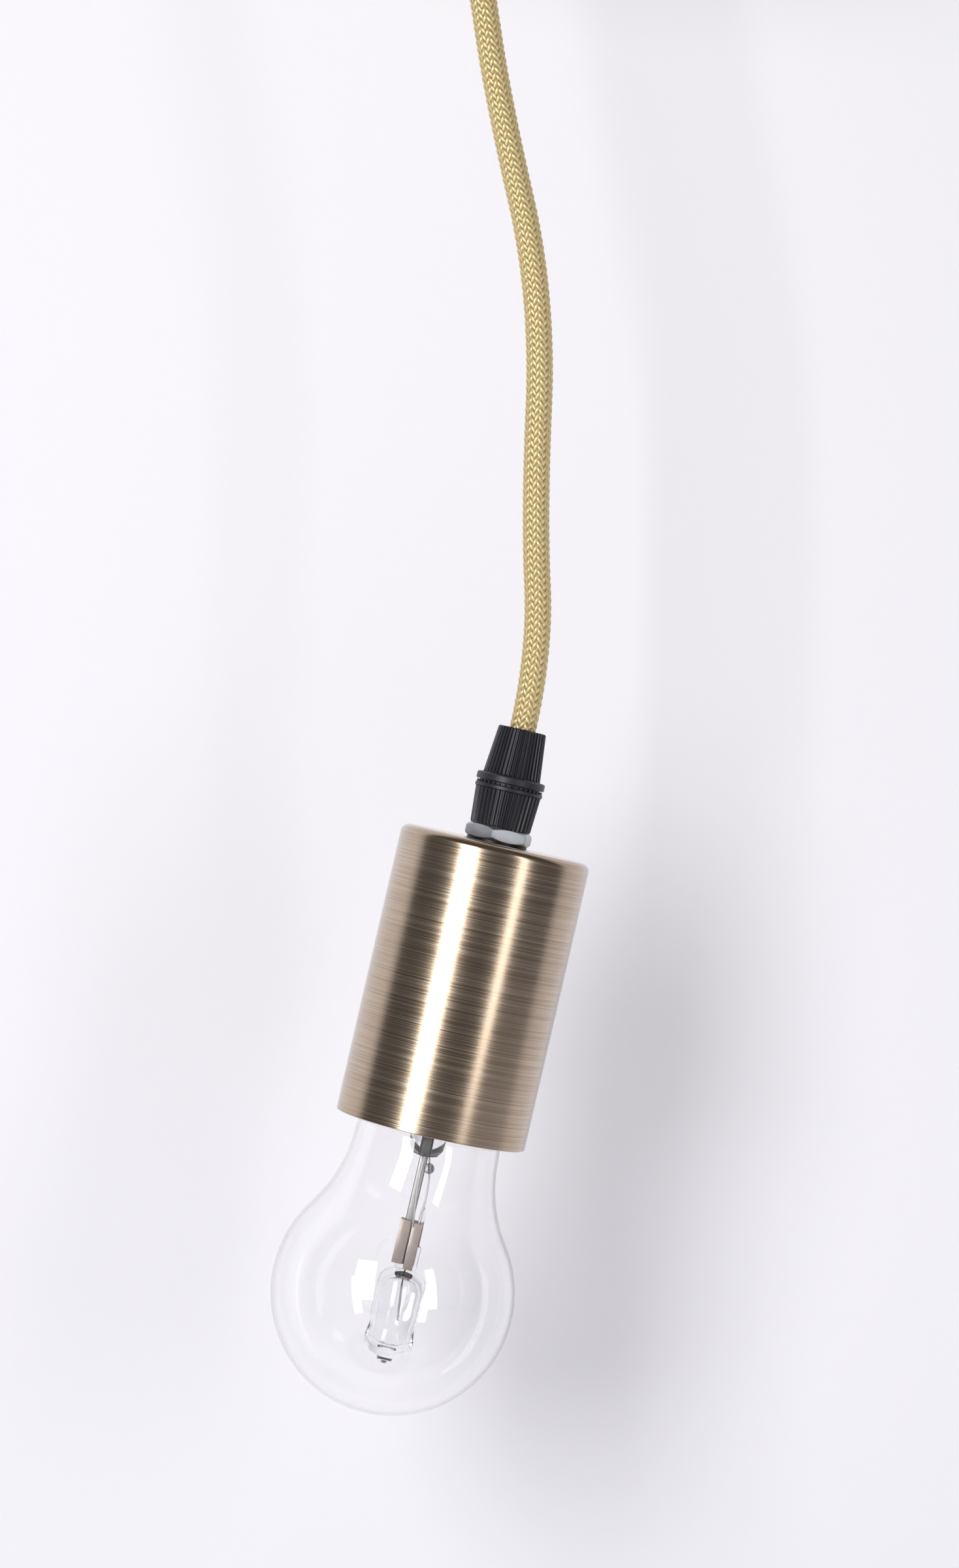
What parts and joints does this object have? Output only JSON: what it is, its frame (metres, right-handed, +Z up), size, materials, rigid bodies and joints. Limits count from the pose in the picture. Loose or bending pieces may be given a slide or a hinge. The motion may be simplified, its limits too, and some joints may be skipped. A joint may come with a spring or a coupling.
{
  "type": "rise and fall pendant light",
  "caption": "Rise and fall pendant: gold textile cord on a spring reel in a round ceiling canopy, black cord grip, brushed brass lampholder cup and clear capsule bulb.",
  "frame": {"origin": "centre of the ceiling plate's top face, where it meets the ceiling", "axes": "+Z up into the ceiling, +X to the right of the picture, +Y away from its viewer"},
  "size_m": [0.118, 0.1216, 0.4542],
  "materials": {
    "antique_brass": "brushed round its axis, lacquered",
    "contact_brass": "bright, stamped or turned",
    "zinc_plate": "bright zinc plated",
    "blackened_steel": "blackened",
    "spring_steel": "blued strip",
    "aluminium_rivet": "plain",
    "bulb_aluminium": "rolled",
    "black_nylon": "moulded, fine ribs",
    "drum_nylon": "moulded, natural grey",
    "holder_plastic": "moulded, heat resistant",
    "terminal_plastic": "moulded, white",
    "wire_plastic": "insulation",
    "gold_textile": "braided shiny yarn",
    "clear_glass": "clear, blown",
    "quartz_glass": "clear, thick",
    "black_glass": "fused insulator",
    "nickel_wire": "bright drawn",
    "solder": "domed solder",
    "tungsten": "coiled wire"
  },
  "bodies": {
    "ceiling_unit": {"ceiling_plate": "zinc_plate", "canopy": "antique_brass", "canopy_screws": "antique_brass", "outlet_bush": "antique_brass", "bush_nut": "contact_brass", "reel_frame": "zinc_plate", "frame_rivets": "aluminium_rivet", "reel_axle": "zinc_plate", "axle_clips": "spring_steel", "brush_block": "holder_plastic", "brushes": "contact_brass", "terminal_block": "terminal_plastic", "terminal_inserts": "contact_brass", "terminal_screws": "zinc_plate", "reel_leads": "wire_plastic", "earth_screw": "contact_brass", "cord_lead": "gold_textile"},
    "reel": {"drum": "drum_nylon", "power_spring": "spring_steel", "spring_cover": "zinc_plate", "slip_rings": "contact_brass", "cord_winding": "gold_textile"},
    "drop": {"cord": "gold_textile"},
    "head": {"cord_tail": "gold_textile", "grip_body": "black_nylon", "hex_nut": "zinc_plate", "washer": "blackened_steel", "nipple": "zinc_plate", "cup": "antique_brass", "holder_cap": "holder_plastic", "holder_body": "holder_plastic", "screw_shell": "contact_brass", "contact_posts": "contact_brass", "holder_terminals": "contact_brass", "core_wires": "wire_plastic"},
    "grip": {"grip_cap": "black_nylon"},
    "contact": {"centre_contact": "contact_brass"},
    "bulb": {"bulb_tip": "solder", "bulb_insulator": "black_glass", "bulb_cap": "bulb_aluminium", "bulb_glass": "clear_glass", "bulb_stem": "clear_glass", "support_strip": "nickel_wire", "clip_plates": "nickel_wire", "capsule": "quartz_glass", "lead_wires": "nickel_wire", "filament": "tungsten"}
  },
  "joints": [
    {"name": "swing", "type": "hinge", "parent": "ceiling_unit", "child": "drop", "pos_m": [0, 0, -0.086], "axis": [0, 1, 0], "range_deg": [-25, 25], "deforming": ["cord"]},
    {"name": "rise_and_fall", "type": "slide", "parent": "drop", "child": "head", "axis": [0, 0, 1], "range_m": [-0.6, 0.1], "deforming": ["cord"]},
    {"name": "drum_spin", "type": "hinge", "parent": "ceiling_unit", "child": "reel", "pos_m": [-0.02185, 0, -0.032], "axis": [0, -1, 0], "range_deg": [-1580, 270]},
    {"name": "grip_turn", "type": "hinge", "parent": "head", "child": "grip", "pos_m": [0.0147, 0, -0.3003], "axis": [0.225, 0, 0.9744], "range_deg": [0, 720]},
    {"name": "contact_travel", "type": "slide", "parent": "head", "child": "contact", "axis": [-0.225, 0, -0.9744], "range_m": [0, 0.00253]},
    {"name": "bulb_turn", "type": "hinge", "parent": "contact", "child": "bulb", "pos_m": [-0.00779, 0, -0.39774], "axis": [0.225, 0, 0.9744], "range_deg": [0, 250]}
  ],
  "couplings": [
    {"joint": "drum_spin", "follows": "rise_and_fall", "rad_per_m": 45.767},
    {"joint": "contact_travel", "follows": "bulb_turn", "m_per_rad": 0.0005776}
  ]
}
